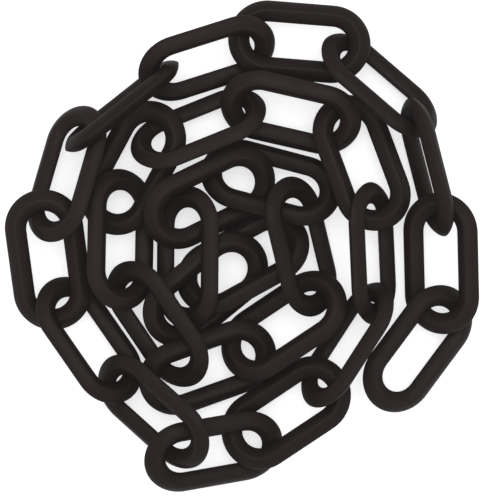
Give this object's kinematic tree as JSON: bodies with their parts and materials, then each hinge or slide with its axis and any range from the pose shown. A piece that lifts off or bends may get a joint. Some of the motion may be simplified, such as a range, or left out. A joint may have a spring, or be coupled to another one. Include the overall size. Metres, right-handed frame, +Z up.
{
  "type": "heap of plastic chain",
  "caption": "Length of moulded plastic chain laid down in a loose spiral that closes inward into a low heap, its oval links threaded through each other.",
  "frame": {"origin": "on the floor, at the middle of the heap's outer box", "axes": "+Z up from the floor, +Y toward the top of the spiral, opposite the free outer link, +X toward the free outer link"},
  "size_m": [0.1776, 0.1852, 0.0307],
  "materials": {
    "black_plastic": "satin moulded black polyethylene"
  },
  "bodies": {
    "root": {"link_01": "black_plastic", "link_02": "black_plastic", "link_03": "black_plastic", "link_04": "black_plastic", "link_05": "black_plastic", "link_06": "black_plastic", "link_07": "black_plastic", "link_08": "black_plastic", "link_09": "black_plastic", "link_10": "black_plastic", "link_11": "black_plastic", "link_12": "black_plastic", "link_13": "black_plastic", "link_14": "black_plastic", "link_15": "black_plastic", "link_16": "black_plastic", "link_17": "black_plastic", "link_18": "black_plastic", "link_19": "black_plastic", "link_20": "black_plastic", "link_21": "black_plastic", "link_22": "black_plastic", "link_23": "black_plastic", "link_24": "black_plastic", "link_25": "black_plastic", "link_26": "black_plastic", "link_27": "black_plastic", "link_28": "black_plastic", "link_29": "black_plastic"}
  },
  "joints": []
}
